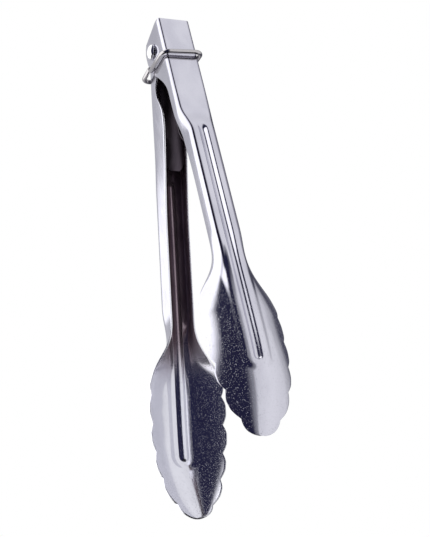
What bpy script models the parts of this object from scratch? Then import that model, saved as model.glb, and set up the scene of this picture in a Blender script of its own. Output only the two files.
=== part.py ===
"""Spring loaded kitchen tongs with scalloped scoops and a wire locking ring.

Metres, +Z up. The origin is the middle of the rivet, and the rivet runs along X.
The tongs hang by their pivot end, so the scoops point down, and they stand open.

Each arm is described in its own frame: s runs down the arm from the rivet, u runs
across it and t runs outward, away from the other arm. The outer arm is on the -Y side.
"""
import math

import bmesh
import bpy

MM = 0.001

# Driving dimensions of the whole object.
TOP_S = -13.0 * MM
TIP_S = 285.5 * MM
HALF_OPENING = math.radians(11.0)
SHEET = 0.9 * MM
HEAD_BEND_ACROSS = 2.2 * MM
HANDLE_BEND_ACROSS = 3.0 * MM
HEAD_BEND_DEPTH = 6.0 * MM
HANDLE_BEND_DEPTH = 3.0 * MM

# Scoop outline, the same on both arms.
NECK_START_S = 166 * MM
NECK_END_S = 214 * MM
WIDEST_S = 222 * MM
SCOOP_HALF_WIDTH = 23.0 * MM
TIP_POWER = 2.4
NOTCHES_S = (213 * MM, 229.5 * MM, 246 * MM, 261.5 * MM, 277 * MM)
NOTCH_DEPTH = 1.7 * MM
NOTCH_REACH = 6.0 * MM
SCOOP_EDGE_DEPTH = 11.5 * MM
BOWL_POWER = 1.9
EDGE_DEPTH_POWER = 1.4
DROP_POWER = 3.0

# Raised spine that carries the handle's flat face on into the scoop.
SPINE_HEIGHT = 0.75 * MM
SPINE_TOP_HALF = 5.7 * MM
SPINE_FOOT_HALF = 9.2 * MM
SPINE_END_S = 252 * MM

# Groove pressed into the face of each arm.
GROOVE_TOP_S = 79 * MM
GROOVE_END_S = 250 * MM
GROOVE_HALF_WIDTH = 3.3 * MM
GROOVE_FLOOR_HALF = 0.3 * MM
GROOVE_DEPTH = 1.85 * MM

# Rivet through both arms.
PIN_RADIUS = 2.4 * MM
HOLE_RADIUS = 2.75 * MM
HEAD_RADIUS = 5.0 * MM
HEAD_HEIGHT = 3.4 * MM
TOUCH_GAP = 0.3 * MM

# Leaf spring looped round the rivet.
SPRING_THICKNESS = 0.6 * MM
SPRING_LOOP_RADIUS = 3.3 * MM
SPRING_HALF_WIDTH = 6.1 * MM
SPRING_LEG = 76 * MM
SPRING_HALF_ANGLE = math.radians(9.0)

# Locking ring of round wire.
WIRE_RADIUS = 1.35 * MM
RING_HALF_WIDTH = 12.4 * MM
RING_FRONT_Y = -22.0 * MM
RING_REAR_Y = 18.4 * MM
RING_FRONT_Z = -14.2 * MM
RING_REAR_Z = -8.0 * MM
RING_SIDE_TILT = 0.08
RING_CORNER = 5.0 * MM
RING_JOINT_Y = 3.0 * MM
RING_JOINT_GAP = 0.3 * MM
RING_END_OFFSET = 0.9 * MM

# How finely the curved surfaces are cut into faces.
ARM_ROWS = 44
TIP_ROWS = 9
TURNED_STEPS = 24
CORNER_STEPS = 5
LOOP_STEPS = 16


class Arm:
    """The sizes that differ between the two arms."""

    def __init__(self, name, side, head_face, handle_face, head_half, handle_half, tip_drop, lean,
                 lean_start, lean_end, curl):
        self.name = name
        self.side = side
        self.head_face = head_face
        self.handle_face = handle_face
        self.head_half = head_half
        self.handle_half = handle_half
        self.tip_drop = tip_drop
        self.lean = lean
        self.lean_start = lean_start
        self.lean_end = lean_end
        self.curl = curl


OUTER = Arm(
    "outer_arm",
    side=-1,
    head_face=16.5 * MM,
    handle_face=20.6 * MM,
    head_half=10.6 * MM,
    handle_half=7.8 * MM,
    tip_drop=17.4 * MM,
    lean=1.4 * MM,
    lean_start=60 * MM,
    lean_end=90 * MM,
    curl=0.3 * MM,
)
INNER = Arm(
    "inner_arm",
    side=1,
    head_face=12.3 * MM,
    handle_face=12.3 * MM,
    head_half=9.4 * MM,
    handle_half=9.4 * MM,
    tip_drop=16.9 * MM,
    lean=-2.2 * MM,
    lean_start=20 * MM,
    lean_end=50 * MM,
    curl=0.0,
)


def ease(value, start, end, low, high):
    """Go smoothly from low at start to high at end, and stay level outside."""
    x = min(max((value - start) / (end - start), 0.0), 1.0)
    return low + (high - low) * x * x * (3 - 2 * x)


def outer_flange_edge(s):
    """How far out the outer arm's flange edge lies: a lobe round the rivet, then narrow."""
    lobe_end, lobe_radius, lobe_t = -5.5 * MM, 9.0 * MM, -1.2 * MM
    if s < lobe_end:
        return lobe_t - math.sqrt(max(lobe_radius**2 - (s - lobe_end) ** 2, 0.0))
    lobe = ease(s, -2 * MM, 45 * MM, lobe_t - lobe_radius, 9.0 * MM)
    return lobe + ease(s, 45 * MM, 120 * MM, 0.0, 3.6 * MM)


def inner_flange_edge(s):
    """The inner arm's flange edge: a lobe, a notch below it, then a deep flange."""
    lobe_end, lobe_radius, lobe_t = -6.5 * MM, 8.0 * MM, 1.0 * MM
    if s < lobe_end:
        return lobe_t - math.sqrt(max(lobe_radius**2 - (s - lobe_end) ** 2, 0.0))
    notch = ease(s, 6 * MM, 24 * MM, lobe_t - lobe_radius, 1.8 * MM)
    deep = ease(s, 26 * MM, 41 * MM, 0.0, -5.6 * MM)
    return notch + deep + ease(s, 45 * MM, 115 * MM, 0.0, 4.6 * MM)


def face_height(arm, s):
    """Distance of the arm's face from the rivet axis, with the scoop's tip curving in."""
    face = ease(s, 62 * MM, 86 * MM, arm.head_face, arm.handle_face)
    drop = max(s - WIDEST_S, 0.0) / (TIP_S - WIDEST_S)
    return face - arm.tip_drop * drop**DROP_POWER


def scoop_half_width(s):
    """Half width of the scoop's outline, before the scallops are cut into it."""
    along = min(max(s - WIDEST_S, 0.0) / (TIP_S - WIDEST_S), 1.0)
    return SCOOP_HALF_WIDTH * math.sqrt(1 - along**TIP_POWER)


def scallop_cut(s):
    """How much a scallop notch takes off the outline: a cusp at each notch."""
    nearness = max(1 - abs(s - notch) / NOTCH_REACH for notch in NOTCHES_S)
    return NOTCH_DEPTH * max(nearness, 0.0) ** 1.5


def handle_edge(arm, s):
    """Edge of the handle's flange as half width and depth below the face."""
    lean = ease(s, arm.lean_start, arm.lean_end, 0.0, arm.lean)
    edge = outer_flange_edge(s) if arm is OUTER else inner_flange_edge(s)
    return bend_half_width(arm, s) + lean, face_height(arm, s) - edge


def bend_half_width(arm, s):
    return ease(s, 62 * MM, 86 * MM, arm.head_half, arm.handle_half)


def channel_section(arm, s, edge_half, edge_depth):
    """Half of a folded channel: flat face, soft bend and leaning flange, as (u, depth)."""
    corner = bend_half_width(arm, s)
    flat_end = corner - ease(s, 40 * MM, 86 * MM, HEAD_BEND_ACROSS, HANDLE_BEND_ACROSS)
    bend_depth = ease(s, 62 * MM, 86 * MM, HEAD_BEND_DEPTH, HANDLE_BEND_DEPTH)
    lean = (edge_half - corner) / edge_depth
    curl = ease(s, arm.lean_start, arm.lean_end, 0.0, arm.curl)
    points = [(flat_end * x, 0.0) for x in (0.0, 0.16, 0.33, 0.5, 0.7, 1.0)]
    for x in (0.2, 0.5, 1.0):
        across = flat_end * (1 - x) ** 2 + corner * 2 * x * (1 - x) + (corner + lean * bend_depth) * x**2
        points.append((across, bend_depth * x**2))
    for x in (0.35, 0.7, 1.0):
        down = bend_depth + (edge_depth - bend_depth) * x
        points.append((corner + lean * down - curl * x**4, down))
    return points


def bowl_section(edge_half, edge_depth, cut):
    """Half of a round bowl section, as (u, depth), cut short at its edge by a scallop."""
    shares = (0.0, 0.05, 0.10, 0.16, 0.25, 0.36, 0.48, 0.60, 0.71, 0.82, 0.91, 1.0)
    section = []
    for x in shares:
        across = edge_half * x - cut * x**6
        section.append((across, edge_depth * (across / edge_half) ** BOWL_POWER))
    return section


def groove_depth(s, u):
    """Depth of the pressed groove: a rounded trough with round ends."""
    past_end = max(GROOVE_TOP_S + GROOVE_HALF_WIDTH - s, s - GROOVE_END_S + GROOVE_HALF_WIDTH, 0.0)
    distance = math.hypot(past_end, u)
    return ease(distance, GROOVE_FLOOR_HALF, GROOVE_HALF_WIDTH, GROOVE_DEPTH, 0.0)


def below_spine(s, u):
    """How far the scoop's bowl lies below the top of the spine, from none to all of it."""
    past_end = max(s - SPINE_END_S + SPINE_TOP_HALF, 0.0)
    return ease(math.hypot(past_end, u), SPINE_TOP_HALF, SPINE_FOOT_HALF, 0.0, SPINE_HEIGHT)


def arm_row(arm, s):
    """One half section of the arm's outer surface, as (u, t) points."""
    half, depth = handle_edge(arm, s)
    scoop_half = scoop_half_width(s)
    cut = min(scallop_cut(s), 0.5 * scoop_half)
    scoop_depth = SCOOP_EDGE_DEPTH * (scoop_half / SCOOP_HALF_WIDTH) ** EDGE_DEPTH_POWER
    share = ease(s, NECK_START_S, NECK_END_S, 0.0, 1.0)
    channel = channel_section(arm, s, half, depth)
    edge_half = half + (scoop_half - half) * share
    edge_depth = depth + (scoop_depth - depth) * share
    bowl = bowl_section(edge_half, edge_depth, cut * share)
    blend = ease(s, NECK_START_S - 8 * MM, NECK_END_S - 14 * MM, 0.0, 1.0)
    face = face_height(arm, s)
    row = []
    for flat, round_point in zip(channel, bowl):
        u = flat[0] + (round_point[0] - flat[0]) * blend
        down = flat[1] + (round_point[1] - flat[1]) * blend
        row.append((u, face - down - groove_depth(s, u) - below_spine(s, u) * blend))
    return row


def row_stations():
    """Places along the arm: close together at the notches, the neck and the tip."""
    stations = [TOP_S + x * MM for x in (0, 1.5, 4, 8, 13, 18, 24, 29, 34, 38.5, 42, 46, 50, 55)]
    stations += [60 * MM, 70 * MM, 78 * MM, 79.5 * MM, 82 * MM, 88 * MM]
    stations += [(110 + 22 * step) * MM for step in range(3)]
    stations += [(160 + 7.5 * step) * MM for step in range(7)]
    for notch in NOTCHES_S:
        stations += [notch - 3 * MM, notch, notch + 3 * MM]
    stations += [221.5 * MM, 238 * MM, 251.5 * MM, 254 * MM, 269.5 * MM]
    last = NOTCHES_S[-1] + 3 * MM
    tip = TIP_S - 0.05 * MM
    for step in range(1, TIP_ROWS + 1):
        stations.append(last + (tip - last) * math.sin(0.5 * math.pi * step / TIP_ROWS))
    return sorted(set(stations))


def new_collection(name):
    collection = bpy.data.collections.new(name)
    bpy.context.scene.collection.children.link(collection)
    return collection


def new_material(name, colour, roughness):
    material = bpy.data.materials.new(name)
    material.use_nodes = True
    shader = material.node_tree.nodes["Principled BSDF"]
    shader.inputs["Base Color"].default_value = (*colour, 1.0)
    shader.inputs["Metallic"].default_value = 1.0
    shader.inputs["Roughness"].default_value = roughness
    return material


def add_object(name, data, collection, material):
    thing = bpy.data.objects.new(name, data)
    collection.objects.link(thing)
    if material is not None:
        data.materials.append(material)
    return thing


def cut_hole(arm_object, cutters):
    """Drill the rivet hole through both flanges."""
    mesh = bpy.data.meshes.new(arm_object.name + "_hole")
    work = bmesh.new()
    bmesh.ops.create_cone(
        work,
        cap_ends=True,
        segments=TURNED_STEPS,
        radius1=HOLE_RADIUS,
        radius2=HOLE_RADIUS,
        depth=4 * OUTER.head_half,
    )
    work.to_mesh(mesh)
    work.free()
    cutter = add_object(arm_object.name + "_hole_cutter", mesh, cutters, None)
    cutter.rotation_euler = (0.0, math.pi / 2, 0.0)
    cutter.hide_render = True
    cutter.display_type = "WIRE"
    cut = arm_object.modifiers.new("rivet_hole", "BOOLEAN")
    cut.operation = "DIFFERENCE"
    cut.object = cutter


def make_arm(arm, parts, cutters):
    """Half an arm as a loft of sections, mirrored, thickened and drilled."""
    mesh = bpy.data.meshes.new(arm.name)
    work = bmesh.new()
    rows = []
    for s in row_stations():
        points = [(u, arm.side * t, -s) for u, t in arm_row(arm, s)]
        rows.append([work.verts.new(point) for point in points])
    for upper, lower in zip(rows, rows[1:]):
        for i in range(len(upper) - 1):
            corners = (upper[i], upper[i + 1], lower[i + 1], lower[i])
            work.faces.new(corners if arm.side > 0 else corners[::-1])
    work.to_mesh(mesh)
    work.free()
    thing = add_object(arm.name, mesh, parts, new_material(arm.name, (0.62, 0.62, 0.65), 0.28))
    mesh.shade_smooth()
    mirror = thing.modifiers.new("other_half", "MIRROR")
    mirror.merge_threshold = 0.0001
    sheet = thing.modifiers.new("sheet", "SOLIDIFY")
    sheet.thickness = SHEET
    sheet.offset = -1.0
    sheet.use_even_offset = True
    thing.rotation_euler = (arm.side * HALF_OPENING, 0.0, 0.0)
    cut_hole(thing, cutters)
    return thing


def make_rivet(parts):
    """A pin with a domed head at each end, turned about the hinge axis."""
    seat = OUTER.head_half + TOUCH_GAP
    half_profile = []
    dome_steps = 5
    for step in range(dome_steps + 1):
        angle = 0.5 * math.pi * step / dome_steps
        half_profile.append((HEAD_RADIUS * math.sin(angle), seat + HEAD_HEIGHT * math.cos(angle)))
    half_profile.append((PIN_RADIUS, seat))
    profile = half_profile + [(radius, -height) for radius, height in reversed(half_profile)]
    mesh = bpy.data.meshes.new("pivot_rivet")
    work = bmesh.new()
    verts = [work.verts.new((radius, 0.0, height)) for radius, height in profile]
    for first, second in zip(verts, verts[1:]):
        work.edges.new((first, second))
    work.to_mesh(mesh)
    work.free()
    rivet = add_object("pivot_rivet", mesh, parts, new_material("rivet", (0.55, 0.55, 0.58), 0.25))
    turn = rivet.modifiers.new("turn", "SCREW")
    turn.steps = TURNED_STEPS
    turn.render_steps = TURNED_STEPS
    turn.use_merge_vertices = True
    turn.merge_threshold = 0.0001
    turn.use_smooth_shade = True
    rivet.rotation_euler = (0.0, math.pi / 2, 0.0)
    return rivet


def spring_centre_line():
    """Side view of the strip: down one leg, round the rivet and down the other leg."""
    def leg_end(side):
        tangent_y = side * SPRING_LOOP_RADIUS * math.cos(SPRING_HALF_ANGLE)
        tangent_z = SPRING_LOOP_RADIUS * math.sin(SPRING_HALF_ANGLE)
        end_y = tangent_y + side * SPRING_LEG * math.sin(SPRING_HALF_ANGLE)
        return end_y, tangent_z - SPRING_LEG * math.cos(SPRING_HALF_ANGLE)

    points = [leg_end(-1)]
    start = math.pi - SPRING_HALF_ANGLE
    for step in range(LOOP_STEPS + 1):
        angle = start - (start - SPRING_HALF_ANGLE) * step / LOOP_STEPS
        y, z = SPRING_LOOP_RADIUS * math.cos(angle), SPRING_LOOP_RADIUS * math.sin(angle)
        points.append((y, z))
    points.append(leg_end(1))
    return points


def strip_outline(centre, thickness):
    """Closed outline of a strip of even thickness that follows a centre line."""
    sides = ([], [])
    for i, (y, z) in enumerate(centre):
        before = centre[max(i - 1, 0)]
        after = centre[min(i + 1, len(centre) - 1)]
        along_y, along_z = after[0] - before[0], after[1] - before[1]
        length = math.hypot(along_y, along_z)
        offset_y = -along_z / length * thickness / 2
        offset_z = along_y / length * thickness / 2
        sides[0].append((y + offset_y, z + offset_z))
        sides[1].append((y - offset_y, z - offset_z))
    return sides[0] + sides[1][::-1]


def make_spring(parts):
    """The leaf spring: its side view as a flat outline, as wide as the strip."""
    curve = bpy.data.curves.new("leaf_spring", "CURVE")
    curve.dimensions = "2D"
    curve.fill_mode = "BOTH"
    curve.extrude = SPRING_HALF_WIDTH
    outline = strip_outline(spring_centre_line(), SPRING_THICKNESS)
    spline = curve.splines.new("POLY")
    spline.points.add(len(outline) - 1)
    for point, (y, z) in zip(spline.points, outline):
        point.co = (y, z, 0.0, 1.0)
    spline.use_cyclic_u = True
    material = new_material("spring_steel", (0.16, 0.16, 0.17), 0.4)
    spring = add_object("leaf_spring", curve, parts, material)
    weld = spring.modifiers.new("weld", "WELD")
    weld.merge_threshold = 0.00005
    spring.rotation_euler = (math.pi / 2, 0.0, math.pi / 2)
    return spring


def ring_height(x, y):
    """The ring lies in a plane that drops towards the outer arm and a little to the left."""
    share = (y - RING_FRONT_Y) / (RING_REAR_Y - RING_FRONT_Y)
    return RING_FRONT_Z + (RING_REAR_Z - RING_FRONT_Z) * share + RING_SIDE_TILT * x


def ring_path():
    """Once round the ring, from one cut end of the wire to the other."""
    inner_x = RING_HALF_WIDTH - RING_CORNER
    corners = (
        (-inner_x, RING_FRONT_Y + RING_CORNER, math.pi),
        (inner_x, RING_FRONT_Y + RING_CORNER, 1.5 * math.pi),
        (inner_x, RING_REAR_Y - RING_CORNER, 0.0),
        (-inner_x, RING_REAR_Y - RING_CORNER, 0.5 * math.pi),
    )
    flat = [(-RING_HALF_WIDTH, RING_JOINT_Y - RING_JOINT_GAP / 2, -RING_END_OFFSET)]
    for x, y, start in corners:
        for step in range(CORNER_STEPS + 1):
            angle = start + 0.5 * math.pi * step / CORNER_STEPS
            flat.append((x + RING_CORNER * math.cos(angle), y + RING_CORNER * math.sin(angle), 0.0))
    flat.append((-RING_HALF_WIDTH, RING_JOINT_Y + RING_JOINT_GAP / 2, RING_END_OFFSET))
    return [(x, y, ring_height(x, y) + lift) for x, y, lift in flat]


def make_ring(parts):
    """Round wire bent into a rounded rectangle, its ends meeting on the left side."""
    curve = bpy.data.curves.new("locking_ring", "CURVE")
    curve.dimensions = "3D"
    curve.bevel_depth = WIRE_RADIUS
    curve.bevel_resolution = 2
    curve.use_fill_caps = True
    path = ring_path()
    spline = curve.splines.new("POLY")
    spline.points.add(len(path) - 1)
    for point, place in zip(spline.points, path):
        point.co = (*place, 1.0)
    ring = add_object("locking_ring", curve, parts, new_material("ring_wire", (0.7, 0.7, 0.72), 0.12))
    weld = ring.modifiers.new("weld", "WELD")
    weld.merge_threshold = 0.00005
    return ring


def main():
    for thing in list(bpy.data.objects):
        bpy.data.objects.remove(thing, do_unlink=True)
    parts = new_collection("kitchen_tongs")
    cutters = new_collection("cutters")
    make_arm(OUTER, parts, cutters)
    make_arm(INNER, parts, cutters)
    make_rivet(parts)
    make_spring(parts)
    make_ring(parts)


main()
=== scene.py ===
"""The looks of the spring loaded kitchen tongs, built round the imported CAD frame.

Metres, in the frame's own axes: X along the rivet, Y across the opening, Z up.
Each arm is described in its own frame: s runs down the arm from the rivet, u runs
across it and t runs outward, away from the other arm. The outer arm is on the -Y side.
"""
import math

import bmesh
import bpy
from mathutils import Matrix, Vector


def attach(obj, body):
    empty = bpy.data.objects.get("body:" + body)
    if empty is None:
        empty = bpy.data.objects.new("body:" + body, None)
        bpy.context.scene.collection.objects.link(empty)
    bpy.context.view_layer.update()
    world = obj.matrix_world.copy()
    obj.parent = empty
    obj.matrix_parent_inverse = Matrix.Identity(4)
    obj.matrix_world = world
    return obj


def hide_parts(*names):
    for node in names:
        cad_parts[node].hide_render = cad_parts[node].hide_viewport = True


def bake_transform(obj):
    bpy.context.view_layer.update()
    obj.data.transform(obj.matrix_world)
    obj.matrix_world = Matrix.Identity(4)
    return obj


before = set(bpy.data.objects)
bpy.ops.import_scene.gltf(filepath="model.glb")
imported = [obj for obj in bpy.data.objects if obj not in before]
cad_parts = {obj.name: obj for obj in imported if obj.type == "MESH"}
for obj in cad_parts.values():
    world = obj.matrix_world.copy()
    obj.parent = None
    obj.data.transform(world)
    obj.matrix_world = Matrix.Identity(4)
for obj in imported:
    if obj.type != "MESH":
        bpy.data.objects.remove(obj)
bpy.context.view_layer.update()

MM = 0.001

# Driving dimensions of the arms, the same as the CAD model's.
TOP_S = -13.0 * MM
TIP_S = 285.5 * MM
HALF_OPENING = math.radians(11.0)
SHEET = 0.9 * MM

# Shoulder between the head and the handle, and the soft bends beside the face.
SHOULDER_START_S = 62 * MM
SHOULDER_END_S = 86 * MM
BEND_CHANGE_S = 40 * MM
HEAD_BEND_ACROSS = 2.2 * MM
HANDLE_BEND_ACROSS = 3.0 * MM
HEAD_BEND_DEPTH = 6.0 * MM
HANDLE_BEND_DEPTH = 3.0 * MM

# Scoop outline and bowl, the same on both arms.
NECK_START_S = 166 * MM
NECK_END_S = 214 * MM
BLEND_START_S = NECK_START_S - 8 * MM
BLEND_END_S = NECK_END_S - 14 * MM
WIDEST_S = 222 * MM
SCOOP_HALF_WIDTH = 23.0 * MM
TIP_POWER = 2.4
NOTCHES_S = (213 * MM, 229.5 * MM, 246 * MM, 261.5 * MM, 277 * MM)
NOTCH_DEPTH = 1.7 * MM
NOTCH_REACH = 6.0 * MM
NOTCH_POWER = 1.5
CUT_POWER = 6
MOST_CUT = 0.5
SCOOP_EDGE_DEPTH = 11.5 * MM
BOWL_POWER = 1.9
EDGE_DEPTH_POWER = 1.4
DROP_POWER = 3.0

# Raised spine that carries the handle's flat face on into the scoop.
SPINE_HEIGHT = 0.75 * MM
SPINE_TOP_HALF = 5.7 * MM
SPINE_FOOT_HALF = 9.2 * MM
SPINE_END_S = 252 * MM

# Groove pressed into the face of each arm.
GROOVE_TOP_S = 79 * MM
GROOVE_END_S = 250 * MM
GROOVE_HALF_WIDTH = 3.3 * MM
GROOVE_FLOOR_HALF = 0.3 * MM
GROOVE_DEPTH = 1.85 * MM

# Rivet through both arms.
PIN_RADIUS = 2.4 * MM
HOLE_RADIUS = 2.75 * MM
HEAD_RADIUS = 5.0 * MM
HEAD_HEIGHT = 3.4 * MM
TOUCH_GAP = 0.3 * MM

# Leaf spring looped round the rivet.
SPRING_THICKNESS = 0.6 * MM
SPRING_LOOP_RADIUS = 3.3 * MM
SPRING_HALF_WIDTH = 6.1 * MM
SPRING_LEG = 76 * MM
SPRING_HALF_ANGLE = math.radians(9.0)

# Locking ring of round wire.
WIRE_RADIUS = 1.35 * MM
RING_HALF_WIDTH = 12.4 * MM
RING_FRONT_Y = -22.0 * MM
RING_REAR_Y = 18.4 * MM
RING_FRONT_Z = -14.2 * MM
RING_REAR_Z = -8.0 * MM
RING_SIDE_TILT = 0.08
RING_CORNER = 5.0 * MM
RING_JOINT_Y = 3.0 * MM
RING_JOINT_GAP = 0.3 * MM
RING_END_OFFSET = 0.9 * MM

# Painted shade: a dark line painted along each fold, standing in for the dark reflection in the bend. Its
# middle and spread, as shares of the bend.
HEAD_FOLD_MIDDLE = 0.15
HANDLE_FOLD_MIDDLE = 0.32
FOLD_SPREAD = 0.18

# How finely the curved surfaces are cut into faces.
FACE_POINTS = 18
BEND_POINTS = 10
FLANGE_POINTS = 8
BOWL_POINT_POWER = 1.15
HANDLE_STEP = 1.5 * MM
SCOOP_STEP = 0.6 * MM
SCOOP_ROWS_START_S = NECK_START_S - 10 * MM
TIP_ROWS = 26
TIP_GAP = 0.05 * MM
WIRE_RESOLUTION = 6
TURNED_STEPS = 64
DOME_STEPS = 14
CORNER_STEPS = 14
LOOP_STEPS = 40
LEG_STEPS = 60
MERGE_DISTANCE = 0.01 * MM

# Rounded edges and ends.
BEVEL_SEGMENTS = 2
RIM_BEVEL = 0.16 * MM
RIM_ANGLE = math.radians(50)
RIVET_RIM_ROUND = 0.35 * MM
RIVET_RIM_INSET = 0.4
RIVET_RIM_LIFT = 0.3
SPRING_EDGE_BEVEL = 0.1 * MM
SPRING_END_LENGTH = 9 * MM
SPRING_END_TAPER = 0.8
RING_END_BEVEL = 0.15 * MM
RING_END_ANGLE = math.radians(60)

# Studio: brightness by direction round the tongs, in degrees from -Y towards +X.
STUDIO_LEVELS = (
    (-180, 0.60), (-157, 0.64), (-150, 1.7), (-82, 1.7), (-68, 0.025), (-18, 0.02),
    (-2, 0.35), (7, 0.92), (55, 0.98), (84, 0.90), (99, 0.58), (111, 0.08), (145, 0.2), (180, 0.60),
)
STUDIO_BLUE = 0.035

# The dark side narrows with height on its left. A full turn from +Y by -X counts as 1.
DARK_SIDE_NARROWING = 0.085
LEFT_SIDE_END = 0.42

# Directions steeper than DARK_BELOW are dark, and those above LIT_ABOVE are lit in full.
DARK_BELOW = -0.74
LIT_ABOVE = -0.60
LOWEST_SHARE = 0.02
DARK_COLOUR = (0.01, 0.01, 0.015)
WHITE = (1.0, 1.0, 1.0)

FLOOR_RADIUS = 0.6
FLOOR_SEGMENTS = 96
FLOOR_Z = -1.1

# The photograph's view: the camera's place, its right and up, and its lens in mm.
CAMERA_PLACE = (-0.33778, -0.82998, -0.64789)
CAMERA_RIGHT = (0.9390968, -0.3220668, -0.1198756)
CAMERA_UP = (-0.0594635, -0.4958546, 0.8663673)
CAMERA_LENS = 81.12
CAMERA_SENSOR = 24.0

# Finish of the steel, with painted shade along the folds and inside the channels. A noise scale is in spots
# per metre.
PIT_SCALE = 2150
PIT_BUMP = 0.08 * MM
PIT_ROUGHNESS = 0.1
# Colour of the painted shade line along each fold: a painted dark reflection.
PAINTED_FOLD_SHADE_COLOUR = (0.07, 0.06, 0.11)
PITTED_START_S = 190 * MM
PITTED_FULL_S = 225 * MM
# Inside the channel, the painted shade and duller finish are full down to here and gone from the next
# station on.
SHADED_DULL_END_S = 172 * MM
UNSHADED_START_S = 205 * MM
FLOOR_HALF = 6.6 * MM
FLANGE_HALF = 8.2 * MM

# Colour sockets of a Mix node.
MIX_FIRST = 6
MIX_SECOND = 7
MIX_RESULT = 2


class Arm:
    """The sizes that differ between the two arms."""

    def __init__(self, name, side, head_face, handle_face, head_half, handle_half, tip_drop, lean,
                 lean_start, lean_end, curl):
        self.name = name
        self.side = side
        self.head_face = head_face
        self.handle_face = handle_face
        self.head_half = head_half
        self.handle_half = handle_half
        self.tip_drop = tip_drop
        self.lean = lean
        self.lean_start = lean_start
        self.lean_end = lean_end
        self.curl = curl


OUTER = Arm(
    "outer_arm",
    side=-1,
    head_face=16.5 * MM,
    handle_face=20.6 * MM,
    head_half=10.6 * MM,
    handle_half=7.8 * MM,
    tip_drop=17.4 * MM,
    lean=1.4 * MM,
    lean_start=60 * MM,
    lean_end=90 * MM,
    curl=0.3 * MM,
)
INNER = Arm(
    "inner_arm",
    side=1,
    head_face=12.3 * MM,
    handle_face=12.3 * MM,
    head_half=9.4 * MM,
    handle_half=9.4 * MM,
    tip_drop=16.9 * MM,
    lean=-2.2 * MM,
    lean_start=20 * MM,
    lean_end=50 * MM,
    curl=0.0,
)


def ease(value, start, end, low, high):
    """Go smoothly from low at start to high at end, and stay level outside."""
    x = min(max((value - start) / (end - start), 0.0), 1.0)
    return low + (high - low) * x * x * (3 - 2 * x)


def outer_flange_edge(s):
    """How far out the outer arm's flange edge lies: a lobe round the rivet, then narrow."""
    lobe_end, lobe_radius, lobe_t = -5.5 * MM, 9.0 * MM, -1.2 * MM
    narrow_start, narrow_end, narrow_t = -2 * MM, 45 * MM, 9.0 * MM
    slope_end, slope_rise = 120 * MM, 3.6 * MM
    if s < lobe_end:
        return lobe_t - math.sqrt(max(lobe_radius**2 - (s - lobe_end) ** 2, 0.0))
    lobe = ease(s, narrow_start, narrow_end, lobe_t - lobe_radius, narrow_t)
    return lobe + ease(s, narrow_end, slope_end, 0.0, slope_rise)


def inner_flange_edge(s):
    """The inner arm's flange edge: a lobe, a notch below it, then a deep flange."""
    lobe_end, lobe_radius, lobe_t = -6.5 * MM, 8.0 * MM, 1.0 * MM
    notch_start, notch_end, notch_t = 6 * MM, 24 * MM, 1.8 * MM
    deep_start, deep_end, deepening = 26 * MM, 41 * MM, -5.6 * MM
    slope_start, slope_end, slope_rise = 45 * MM, 115 * MM, 4.6 * MM
    if s < lobe_end:
        return lobe_t - math.sqrt(max(lobe_radius**2 - (s - lobe_end) ** 2, 0.0))
    notch = ease(s, notch_start, notch_end, lobe_t - lobe_radius, notch_t)
    deep = ease(s, deep_start, deep_end, 0.0, deepening)
    return notch + deep + ease(s, slope_start, slope_end, 0.0, slope_rise)


def face_height(arm, s):
    """Distance of the arm's face from the rivet axis, with the scoop's tip curving in."""
    face = ease(s, SHOULDER_START_S, SHOULDER_END_S, arm.head_face, arm.handle_face)
    drop = max(s - WIDEST_S, 0.0) / (TIP_S - WIDEST_S)
    return face - arm.tip_drop * drop**DROP_POWER


def scoop_half_width(s):
    """Half width of the scoop's outline, before the scallops are cut into it."""
    along = min(max(s - WIDEST_S, 0.0) / (TIP_S - WIDEST_S), 1.0)
    return SCOOP_HALF_WIDTH * math.sqrt(1 - along**TIP_POWER)


def scallop_cut(s):
    """How much a scallop notch takes off the outline: a cusp at each notch."""
    nearness = max(1 - abs(s - notch) / NOTCH_REACH for notch in NOTCHES_S)
    return NOTCH_DEPTH * max(nearness, 0.0) ** NOTCH_POWER


def handle_edge(arm, s):
    """Edge of the handle's flange as half width and depth below the face."""
    lean = ease(s, arm.lean_start, arm.lean_end, 0.0, arm.lean)
    edge = outer_flange_edge(s) if arm is OUTER else inner_flange_edge(s)
    return bend_half_width(arm, s) + lean, face_height(arm, s) - edge


def bend_half_width(arm, s):
    """Half width of the channel where its face meets its flange."""
    return ease(s, SHOULDER_START_S, SHOULDER_END_S, arm.head_half, arm.handle_half)


def channel_section(arm, s, edge_half, edge_depth):
    """Half of a folded channel: flat face, soft bend and leaning flange, as (u, depth)."""
    corner = bend_half_width(arm, s)
    flat_end = corner - ease(s, BEND_CHANGE_S, SHOULDER_END_S, HEAD_BEND_ACROSS, HANDLE_BEND_ACROSS)
    bend_depth = ease(s, SHOULDER_START_S, SHOULDER_END_S, HEAD_BEND_DEPTH, HANDLE_BEND_DEPTH)
    lean = (edge_half - corner) / edge_depth
    curl = ease(s, arm.lean_start, arm.lean_end, 0.0, arm.curl)
    points = [(flat_end * i / FACE_POINTS, 0.0) for i in range(FACE_POINTS + 1)]
    for i in range(1, BEND_POINTS + 1):
        x = i / BEND_POINTS
        across = flat_end * (1 - x) ** 2 + corner * 2 * x * (1 - x) + (corner + lean * bend_depth) * x**2
        points.append((across, bend_depth * x**2))
    for i in range(1, FLANGE_POINTS + 1):
        x = i / FLANGE_POINTS
        down = bend_depth + (edge_depth - bend_depth) * x
        points.append((corner + lean * down - curl * x**4, down))
    return points


def bowl_section(edge_half, edge_depth, cut):
    """Half of a round bowl section, as (u, depth), cut short at its edge by a scallop."""
    count = FACE_POINTS + BEND_POINTS + FLANGE_POINTS
    section = []
    for i in range(count + 1):
        x = (i / count) ** BOWL_POINT_POWER
        across = edge_half * x - cut * x**CUT_POWER
        section.append((across, edge_depth * (across / edge_half) ** BOWL_POWER))
    return section


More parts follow.
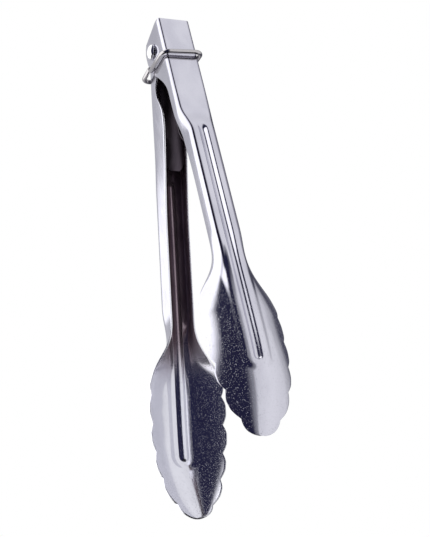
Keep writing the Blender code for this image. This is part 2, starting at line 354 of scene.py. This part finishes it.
def groove_depth(s, u):
    """Depth of the pressed groove: a rounded trough with round ends."""
    past_end = max(GROOVE_TOP_S + GROOVE_HALF_WIDTH - s, s - GROOVE_END_S + GROOVE_HALF_WIDTH, 0.0)
    distance = math.hypot(past_end, u)
    return ease(distance, GROOVE_FLOOR_HALF, GROOVE_HALF_WIDTH, GROOVE_DEPTH, 0.0)


def below_spine(s, u):
    """How far the scoop's bowl lies below the top of the spine, from none to all of it."""
    past_end = max(s - SPINE_END_S + SPINE_TOP_HALF, 0.0)
    return ease(math.hypot(past_end, u), SPINE_TOP_HALF, SPINE_FOOT_HALF, 0.0, SPINE_HEIGHT)


def arm_row(arm, s):
    """One half section of the arm's outer surface, as (u, t) points."""
    half, depth = handle_edge(arm, s)
    scoop_half = scoop_half_width(s)
    cut = min(scallop_cut(s), MOST_CUT * scoop_half)
    scoop_depth = SCOOP_EDGE_DEPTH * (scoop_half / SCOOP_HALF_WIDTH) ** EDGE_DEPTH_POWER
    share = ease(s, NECK_START_S, NECK_END_S, 0.0, 1.0)
    channel = channel_section(arm, s, half, depth)
    edge_half = half + (scoop_half - half) * share
    edge_depth = depth + (scoop_depth - depth) * share
    bowl = bowl_section(edge_half, edge_depth, cut * share)
    blend = ease(s, BLEND_START_S, BLEND_END_S, 0.0, 1.0)
    face = face_height(arm, s)
    row = []
    for flat, round_point in zip(channel, bowl):
        u = flat[0] + (round_point[0] - flat[0]) * blend
        down = flat[1] + (round_point[1] - flat[1]) * blend
        row.append((u, face - down - groove_depth(s, u) - below_spine(s, u) * blend))
    return row


def row_stations():
    """Places along the arm, closer together in the scoop and closest at its tip."""
    scoop_start = SCOOP_ROWS_START_S
    handle_rows = round((scoop_start - TOP_S) / HANDLE_STEP)
    stations = [TOP_S + (scoop_start - TOP_S) * i / handle_rows for i in range(handle_rows)]
    scoop_rows = round((NOTCHES_S[-1] - scoop_start) / SCOOP_STEP)
    stations += [scoop_start + (NOTCHES_S[-1] - scoop_start) * i / scoop_rows for i in range(scoop_rows + 1)]
    last = stations[-1]
    tip = TIP_S - TIP_GAP
    for step in range(1, TIP_ROWS + 1):
        stations.append(last + (tip - last) * math.sin(0.5 * math.pi * step / TIP_ROWS))
    return stations


def add_object(name, data, materials=()):
    thing = bpy.data.objects.new(name, data)
    bpy.context.scene.collection.objects.link(thing)
    for material in materials:
        data.materials.append(material)
    return thing


def apply_modifiers(thing):
    """Bake the object's modifiers into its mesh."""
    graph = bpy.context.evaluated_depsgraph_get()
    mesh = bpy.data.meshes.new_from_object(thing.evaluated_get(graph))
    thing.modifiers.clear()
    thing.data = mesh


def hole_cutter():
    """A round bar along the rivet, used to drill both flanges."""
    mesh = bpy.data.meshes.new("hole_cutter")
    work = bmesh.new()
    bmesh.ops.create_cone(
        work,
        cap_ends=True,
        segments=TURNED_STEPS,
        radius1=HOLE_RADIUS,
        radius2=HOLE_RADIUS,
        depth=4 * OUTER.head_half,
        matrix=Matrix.Rotation(math.pi / 2, 4, "Y"),
    )
    work.to_mesh(mesh)
    work.free()
    return add_object("hole_cutter", mesh)


def arm_sheet(arm):
    """Mesh of half the arm's outer surface. Attributes hold each point's place and the strength of the
    painted shade line along the fold.
    """
    mesh = bpy.data.meshes.new(arm.name + "_sheet")
    work = bmesh.new()
    along = work.verts.layers.float.new("along")
    across = work.verts.layers.float.new("across")
    # Strength of the dark line painted along the fold as shade.
    painted_fold_mask = work.verts.layers.float.new("painted_fold_mask")
    rows = []
    for s in row_stations():
        row = []
        # The painted fold shade is full in the handle and fades out through the neck.
        painted_fold_shading = ease(s, NECK_START_S, NECK_END_S, 1.0, 0.0)
        fold_middle = ease(s, SHOULDER_START_S, SHOULDER_END_S, HEAD_FOLD_MIDDLE, HANDLE_FOLD_MIDDLE)
        for i, (u, t) in enumerate(arm_row(arm, s)):
            off_fold = abs((i - FACE_POINTS) / BEND_POINTS - fold_middle)
            vert = work.verts.new((u, arm.side * t, -s))
            vert[along] = s
            vert[across] = u
            vert[painted_fold_mask] = painted_fold_shading * max(1 - off_fold / FOLD_SPREAD, 0.0)
            row.append(vert)
        rows.append(row)
    for upper, lower in zip(rows, rows[1:]):
        for i in range(len(upper) - 1):
            corners = (upper[i], upper[i + 1], lower[i + 1], lower[i])
            work.faces.new(corners if arm.side > 0 else corners[::-1])
    work.to_mesh(mesh)
    work.free()
    mesh.shade_smooth()
    return mesh


def make_arm(arm, materials):
    """Half an arm mirrored, thickened, drilled and deburred."""
    arm_object = add_object(arm.name + "_sheet", arm_sheet(arm), materials)
    mirror = arm_object.modifiers.new("other_half", "MIRROR")
    mirror.merge_threshold = MERGE_DISTANCE
    sheet = arm_object.modifiers.new("sheet", "SOLIDIFY")
    sheet.thickness = SHEET
    sheet.offset = -1.0
    sheet.use_even_offset = True
    sheet.material_offset = 1
    sheet.material_offset_rim = 2
    cutter = hole_cutter()
    drill = arm_object.modifiers.new("rivet_hole", "BOOLEAN")
    drill.operation = "DIFFERENCE"
    drill.object = cutter
    rim = arm_object.modifiers.new("rim", "BEVEL")
    rim.width = RIM_BEVEL
    rim.segments = BEVEL_SEGMENTS
    rim.limit_method = "ANGLE"
    rim.angle_limit = RIM_ANGLE
    apply_modifiers(arm_object)
    bpy.data.objects.remove(cutter)
    arm_object.data.transform(Matrix.Rotation(arm.side * HALF_OPENING, 4, "X"))
    return arm_object


def make_rivet(material):
    """A pin with a domed head at each end, turned about the hinge axis."""
    seat = OUTER.head_half + TOUCH_GAP
    half_profile = []
    for step in range(DOME_STEPS + 1):
        angle = 0.5 * math.pi * step / DOME_STEPS
        height = seat + RIVET_RIM_ROUND + (HEAD_HEIGHT - RIVET_RIM_ROUND) * math.cos(angle)
        half_profile.append((HEAD_RADIUS * math.sin(angle), height))
    inset, lift = RIVET_RIM_INSET * RIVET_RIM_ROUND, RIVET_RIM_LIFT * RIVET_RIM_ROUND
    half_profile.append((HEAD_RADIUS - inset, seat + lift))
    half_profile.append((HEAD_RADIUS - RIVET_RIM_ROUND, seat))
    half_profile.append((PIN_RADIUS, seat))
    profile = half_profile + [(radius, -height) for radius, height in reversed(half_profile)]
    mesh = bpy.data.meshes.new("rivet")
    work = bmesh.new()
    verts = [work.verts.new((radius, 0.0, height)) for radius, height in profile]
    for first, second in zip(verts, verts[1:]):
        work.edges.new((first, second))
    work.to_mesh(mesh)
    work.free()
    rivet = add_object("domed_rivet", mesh, [material])
    turn = rivet.modifiers.new("turn", "SCREW")
    turn.steps = TURNED_STEPS
    turn.render_steps = TURNED_STEPS
    turn.use_merge_vertices = True
    turn.merge_threshold = MERGE_DISTANCE
    turn.use_smooth_shade = True
    apply_modifiers(rivet)
    rivet.data.transform(Matrix.Rotation(math.pi / 2, 4, "Y"))
    return rivet


def spring_leg(side, share):
    """A point of the spring's leg on one side, with share 1 at its free end."""
    reach = SPRING_LEG * share
    y = side * (SPRING_LOOP_RADIUS * math.cos(SPRING_HALF_ANGLE) + reach * math.sin(SPRING_HALF_ANGLE))
    return y, SPRING_LOOP_RADIUS * math.sin(SPRING_HALF_ANGLE) - reach * math.cos(SPRING_HALF_ANGLE)


def spring_centre_line():
    """Side view of the strip: up one leg, round the rivet and down the other leg."""
    points = [spring_leg(-1, 1 - i / LEG_STEPS) for i in range(LEG_STEPS)]
    start = math.pi - SPRING_HALF_ANGLE
    for step in range(LOOP_STEPS + 1):
        angle = start - (start - SPRING_HALF_ANGLE) * step / LOOP_STEPS
        points.append((SPRING_LOOP_RADIUS * math.cos(angle), SPRING_LOOP_RADIUS * math.sin(angle)))
    points += [spring_leg(1, (i + 1) / LEG_STEPS) for i in range(LEG_STEPS)]
    return points


def make_spring(material):
    """The leaf spring: a strip swept along its side view, with rounded leg ends."""
    mesh = bpy.data.meshes.new("spring")
    work = bmesh.new()
    centre = spring_centre_line()
    rows = []
    for i, (y, z) in enumerate(centre):
        before = centre[max(i - 1, 0)]
        after = centre[min(i + 1, len(centre) - 1)]
        along = Vector((0.0, after[0] - before[0], after[1] - before[1])).normalized()
        outward = Vector((0.0, -along.z, along.y)) * SPRING_THICKNESS / 2
        from_end = min(i, len(centre) - 1 - i) * SPRING_LEG / LEG_STEPS
        nearness = max(0.0, 1 - from_end / SPRING_END_LENGTH)
        half = SPRING_HALF_WIDTH * math.sqrt(1 - SPRING_END_TAPER * nearness**2)
        middle = Vector((0.0, y, z))
        across = Vector((half, 0.0, 0.0))
        corners = (middle - across + outward, middle + across + outward,
                   middle + across - outward, middle - across - outward)
        rows.append([work.verts.new(corner) for corner in corners])
    for upper, lower in zip(rows, rows[1:]):
        for i in range(4):
            work.faces.new((upper[i], upper[(i + 1) % 4], lower[(i + 1) % 4], lower[i]))
    work.faces.new(rows[0][::-1])
    work.faces.new(rows[-1])
    bmesh.ops.recalc_face_normals(work, faces=work.faces)
    work.to_mesh(mesh)
    work.free()
    mesh.shade_smooth()
    spring = add_object("leaf_spring_strip", mesh, [material])
    edges = spring.modifiers.new("edges", "BEVEL")
    edges.width = SPRING_EDGE_BEVEL
    edges.segments = BEVEL_SEGMENTS
    edges.limit_method = "ANGLE"
    apply_modifiers(spring)
    return spring


def ring_height(x, y):
    """The ring lies in a plane that drops towards the outer arm and a little to the left."""
    share = (y - RING_FRONT_Y) / (RING_REAR_Y - RING_FRONT_Y)
    return RING_FRONT_Z + (RING_REAR_Z - RING_FRONT_Z) * share + RING_SIDE_TILT * x


def ring_path():
    """Once round the ring, from one cut end of the wire to the other."""
    inner_x = RING_HALF_WIDTH - RING_CORNER
    corners = (
        (-inner_x, RING_FRONT_Y + RING_CORNER, math.pi),
        (inner_x, RING_FRONT_Y + RING_CORNER, 1.5 * math.pi),
        (inner_x, RING_REAR_Y - RING_CORNER, 0.0),
        (-inner_x, RING_REAR_Y - RING_CORNER, 0.5 * math.pi),
    )
    flat = [(-RING_HALF_WIDTH, RING_JOINT_Y - RING_JOINT_GAP / 2, -RING_END_OFFSET)]
    for x, y, start in corners:
        for step in range(CORNER_STEPS + 1):
            angle = start + 0.5 * math.pi * step / CORNER_STEPS
            flat.append((x + RING_CORNER * math.cos(angle), y + RING_CORNER * math.sin(angle), 0.0))
    flat.append((-RING_HALF_WIDTH, RING_JOINT_Y + RING_JOINT_GAP / 2, RING_END_OFFSET))
    return [(x, y, ring_height(x, y) + lift) for x, y, lift in flat]


def make_ring(material):
    """Round wire bent into a rounded rectangle, its cut ends butting on the left side."""
    curve = bpy.data.curves.new("ring_wire", "CURVE")
    curve.dimensions = "3D"
    curve.bevel_depth = WIRE_RADIUS
    curve.bevel_resolution = WIRE_RESOLUTION
    curve.use_fill_caps = True
    path = ring_path()
    spline = curve.splines.new("POLY")
    spline.points.add(len(path) - 1)
    for point, place in zip(spline.points, path):
        point.co = (*place, 1.0)
    ring = add_object("wire_ring", curve, [material])
    weld = ring.modifiers.new("weld", "WELD")
    weld.merge_threshold = MERGE_DISTANCE
    ends = ring.modifiers.new("ends", "BEVEL")
    ends.width = RING_END_BEVEL
    ends.segments = BEVEL_SEGMENTS
    ends.limit_method = "ANGLE"
    ends.angle_limit = RING_END_ANGLE
    graph = bpy.context.evaluated_depsgraph_get()
    mesh = bpy.data.meshes.new_from_object(ring.evaluated_get(graph))
    bpy.data.objects.remove(ring)
    mesh.materials.clear()
    mesh.shade_smooth()
    return add_object("wire_ring", mesh, [material])


class Nodes:
    """A shader node tree with short calls for adding nodes to it."""

    def __init__(self, tree):
        self.tree = tree

    def node(self, kind, **settings):
        made = self.tree.nodes.new(kind)
        for name, value in settings.items():
            setattr(made, name, value)
        return made

    def link(self, source, target):
        self.tree.links.new(source, target)

    def ramp(self, value, low_at, low, high_at, high):
        """Map a value smoothly from low to high between two of its levels."""
        spread = self.node("ShaderNodeMapRange", interpolation_type="SMOOTHSTEP")
        self.link(value, spread.inputs["Value"])
        spread.inputs["From Min"].default_value = low_at
        spread.inputs["From Max"].default_value = high_at
        spread.inputs["To Min"].default_value = low
        spread.inputs["To Max"].default_value = high
        return spread.outputs["Result"]

    def mix_colours(self, share, first, second):
        mix = self.node("ShaderNodeMix", data_type="RGBA")
        self.link(share, mix.inputs["Factor"])
        for socket, colour in ((mix.inputs[MIX_FIRST], first), (mix.inputs[MIX_SECOND], second)):
            if isinstance(colour, tuple):
                socket.default_value = (*colour, 1.0)
            else:
                self.link(colour, socket)
        return mix.outputs[MIX_RESULT]

    def math(self, operation, first, second):
        node = self.node("ShaderNodeMath", operation=operation)
        for socket, value in zip(node.inputs, (first, second)):
            if isinstance(value, (int, float)):
                socket.default_value = value
            else:
                self.link(value, socket)
        return node.outputs["Value"]


class Look(Nodes):
    """The nodes of a Principled material, placed by object coordinates."""

    def __init__(self, name, colour, metallic, roughness):
        self.material = bpy.data.materials.new(name)
        self.material.use_nodes = True
        super().__init__(self.material.node_tree)
        self.shader = self.tree.nodes["Principled BSDF"]
        self.shader.inputs["Base Color"].default_value = (*colour, 1.0)
        self.shader.inputs["Metallic"].default_value = metallic
        self.shader.inputs["Roughness"].default_value = roughness
        self.place = self.node("ShaderNodeTexCoord").outputs["Object"]

    def noise(self, scale, detail=2.0, stretch=(1.0, 1.0, 1.0)):
        """Noise over the object coordinates, which are first multiplied by stretch."""
        mapping = self.node("ShaderNodeMapping")
        mapping.inputs["Scale"].default_value = stretch
        self.link(self.place, mapping.inputs["Vector"])
        texture = self.node("ShaderNodeTexNoise")
        texture.inputs["Scale"].default_value = scale
        texture.inputs["Detail"].default_value = detail
        self.link(mapping.outputs["Vector"], texture.inputs["Vector"])
        return texture.outputs["Fac"]

    def attribute(self, name):
        return self.node("ShaderNodeAttribute", attribute_name=name).outputs["Fac"]

    def set(self, name, value):
        """Let a value drive one of the shader's inputs."""
        self.link(value, self.shader.inputs[name])

    def bump(self, height, strength, distance):
        node = self.node("ShaderNodeBump")
        node.inputs["Strength"].default_value = strength
        node.inputs["Distance"].default_value = distance
        self.link(height, node.inputs["Height"])
        self.set("Normal", node.outputs["Normal"])


def sheet_face():
    """Rolled stainless sheet: soft mottling, fine grain down the arm, painted shade along the folds, pitted
    scoop.
    """
    look = Look("sheet_steel_face", (0.66, 0.665, 0.70), 1.0, 0.2)
    mottle = look.noise(60, 3.0, (1.0, 1.0, 0.5))
    tone = look.ramp(mottle, 0.35, 0.0, 0.65, 1.0)
    colour = look.mix_colours(tone, (0.58, 0.575, 0.64), (0.66, 0.655, 0.715))
    # Painted shade: darken the colour along each fold with the painted dark line.
    painted_fold_shading = look.mix_colours(look.attribute("painted_fold_mask"), colour, PAINTED_FOLD_SHADE_COLOUR)
    look.set("Base Color", painted_fold_shading)
    scoop = look.ramp(look.attribute("along"), PITTED_START_S, 0.0, PITTED_FULL_S, 1.0)
    grain = look.noise(900, 2.0, (1.0, 1.0, 0.12))
    pits = look.math("MULTIPLY", look.ramp(look.noise(PIT_SCALE), 0.63, 0.0, 0.78, 1.0), scoop)
    rough = look.ramp(grain, 0.3, 0.08, 0.7, 0.15)
    look.set("Roughness", look.math("ADD", rough, look.math("MULTIPLY", pits, PIT_ROUGHNESS)))
    height = look.math("ADD", look.math("MULTIPLY", grain, 0.12), pits)
    look.bump(height, 0.9, PIT_BUMP)
    return look.material


def sheet_inside():
    """Inside of the folded sheet: painted shade, a dark brownish colour, and a duller finish in the channel;
    bright in the bowl.
    """
    look = Look("sheet_steel_inside", (0.5, 0.5, 0.53), 1.0, 0.22)
    # Where the painted shade and duller finish lie: 1 in the handle's channel, 0 in the bowl.
    channel = look.ramp(look.attribute("along"), SHADED_DULL_END_S, 1.0, UNSHADED_START_S, 0.0)
    stain = look.ramp(look.noise(90, 3.0, (1.0, 1.0, 0.25)), 0.35, 0.0, 0.65, 1.0)
    # Painted shade: dark brownish colours stand in for the shade deep inside the channel.
    painted_channel_shade = look.mix_colours(stain, (0.24, 0.18, 0.21), (0.36, 0.285, 0.32))
    bright = look.mix_colours(stain, (0.69, 0.69, 0.74), (0.75, 0.75, 0.80))
    look.set("Base Color", look.mix_colours(channel, bright, painted_channel_shade))
    floor = look.ramp(look.attribute("across"), FLOOR_HALF, 1.0, FLANGE_HALF, 0.0)
    flange = look.math("SUBTRACT", channel, look.math("MULTIPLY", channel, floor))
    rough = look.ramp(flange, 0.0, 0.12, 1.0, 0.45)
    dull = look.math("ADD", look.math("MULTIPLY", channel, 0.3), look.math("MULTIPLY", flange, 0.4))
    look.set("Metallic", look.math("SUBTRACT", 1.0, dull))
    pits = look.ramp(look.noise(PIT_SCALE), 0.61, 0.0, 0.78, 1.0)
    look.set("Roughness", look.math("ADD", rough, look.math("MULTIPLY", pits, PIT_ROUGHNESS)))
    look.bump(pits, 0.8, PIT_BUMP)
    return look.material


def sheet_rim():
    """Sheared and tumbled edge of the sheet, brighter than its faces."""
    look = Look("sheet_steel_rim", (0.82, 0.82, 0.85), 1.0, 0.3)
    wear = look.noise(700)
    look.set("Roughness", look.ramp(wear, 0.3, 0.22, 0.7, 0.38))
    look.bump(wear, 0.2, 0.04 * MM)
    return look.material


def rivet_steel():
    """Bright rivet with faint marks."""
    look = Look("rivet_steel", (0.78, 0.78, 0.80), 1.0, 0.14)
    marks = look.noise(420, 3.0, (1.0, 0.3, 0.3))
    look.set("Roughness", look.ramp(marks, 0.3, 0.1, 0.7, 0.2))
    look.bump(marks, 0.12, 0.1 * MM)
    return look.material


def spring_steel():
    """Spring strip painted near black as shade, for it lies in shadow between the arms, with lighter worn
    streaks along its length.
    """
    # Painted shade: the strip's near-black colours stand in for the shadow between the arms.
    look = Look("spring_steel_strip", (0.03, 0.03, 0.035), 1.0, 0.35)
    wear = look.noise(260, 3.0, (1.0, 1.0, 0.2))
    worn = look.ramp(wear, 0.45, 0.0, 0.8, 1.0)
    look.set("Base Color", look.mix_colours(worn, (0.075, 0.062, 0.075), (0.13, 0.11, 0.13)))
    look.set("Roughness", look.ramp(wear, 0.3, 0.28, 0.7, 0.45))
    look.bump(wear, 0.15, 0.05 * MM)
    return look.material


def ring_chrome():
    """Bright drawn wire."""
    look = Look("ring_chrome", (0.52, 0.50, 0.50), 1.0, 0.08)
    drawn = look.noise(500, 2.0, (1.0, 0.25, 1.0))
    look.set("Roughness", look.ramp(drawn, 0.3, 0.06, 0.7, 0.14))
    look.bump(drawn, 0.08, 0.05 * MM)
    return look.material


def make_world():
    """A white studio, dark where the photographer stands and dim at the right rear."""
    world = bpy.data.worlds.new("studio")
    world.use_nodes = True
    studio = Nodes(world.node_tree)
    split = studio.node("ShaderNodeSeparateXYZ")
    studio.link(studio.node("ShaderNodeTexCoord").outputs["Generated"], split.inputs["Vector"])
    x, y, z = (split.outputs[axis] for axis in "XYZ")
    azimuth = studio.math("ARCTAN2", x, studio.math("MULTIPLY", y, -1.0))
    turn = studio.math("ADD", studio.math("DIVIDE", azimuth, 2 * math.pi), 0.5)
    # Where the dark side ends on the left depends on height: it narrows towards the ceiling.
    narrowing = studio.math("MULTIPLY", studio.math("MAXIMUM", z, 0.0), DARK_SIDE_NARROWING)
    on_left = studio.math("LESS_THAN", turn, LEFT_SIDE_END)
    shifted = studio.math("SUBTRACT", turn, studio.math("MULTIPLY", narrowing, on_left))
    stops = studio.node("ShaderNodeValToRGB")
    studio.link(shifted, stops.inputs["Fac"])
    ramp = stops.color_ramp
    ramp.interpolation = "EASE"
    ramp.elements[0].position = 0.0
    ramp.elements[1].position = 1.0
    for degrees, _ in STUDIO_LEVELS[1:-1]:
        ramp.elements.new(degrees / 360 + 0.5)
    for element, (_, level) in zip(ramp.elements, STUDIO_LEVELS):
        element.color = (level, level, level + STUDIO_BLUE, 1.0)
    # Nothing is lit far below, so the undersides stay dark.
    low = studio.ramp(z, DARK_BELOW, LOWEST_SHARE, LIT_ABOVE, 1.0)
    shade = studio.mix_colours(low, DARK_COLOUR, stops.outputs["Color"])
    # The camera itself sees plain white behind the tongs.
    seen = studio.node("ShaderNodeLightPath").outputs["Is Camera Ray"]
    background = studio.tree.nodes["Background"]
    studio.link(studio.mix_colours(seen, shade, WHITE), background.inputs["Color"])
    bpy.context.scene.world = world


def make_floor():
    """A plain pale floor well below the hanging tongs."""
    mesh = bpy.data.meshes.new("floor")
    work = bmesh.new()
    bmesh.ops.create_circle(work, cap_ends=True, segments=FLOOR_SEGMENTS, radius=FLOOR_RADIUS)
    work.to_mesh(mesh)
    work.free()
    look = Look("pale_floor", (0.9, 0.9, 0.9), 0.0, 0.7)
    floor = add_object("floor", mesh, [look.material])
    floor.location = (0.0, 0.0, FLOOR_Z)
    # The steel reflects the dark below instead of the floor.
    floor.visible_glossy = False


def make_camera():
    """The photograph's view: from the left front, well below the scoops."""
    data = bpy.data.cameras.new("photo_camera")
    data.sensor_fit = "VERTICAL"
    data.sensor_height = CAMERA_SENSOR
    data.lens = CAMERA_LENS
    camera = add_object("photo_camera", data)
    right = Vector(CAMERA_RIGHT)
    up = Vector(CAMERA_UP)
    back = right.cross(up)
    rotation = Matrix((right, up, back)).transposed().to_4x4()
    camera.matrix_world = Matrix.Translation(CAMERA_PLACE) @ rotation
    bpy.context.scene.camera = camera


def main():
    bpy.context.scene.view_settings.view_transform = "Standard"
    make_camera()
    make_world()
    make_floor()
    steel = [sheet_face(), sheet_inside(), sheet_rim()]
    for arm, body in ((OUTER, "outer"), (INNER, "inner")):
        piece = make_arm(arm, steel)
        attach(piece, body)
        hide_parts(arm.name)
    rivet = make_rivet(rivet_steel())
    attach(rivet, "inner")
    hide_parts("pivot_rivet")
    spring = make_spring(spring_steel())
    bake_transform(spring)
    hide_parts("leaf_spring")
    ring = make_ring(ring_chrome())
    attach(ring, "ring")
    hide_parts("locking_ring")


main()
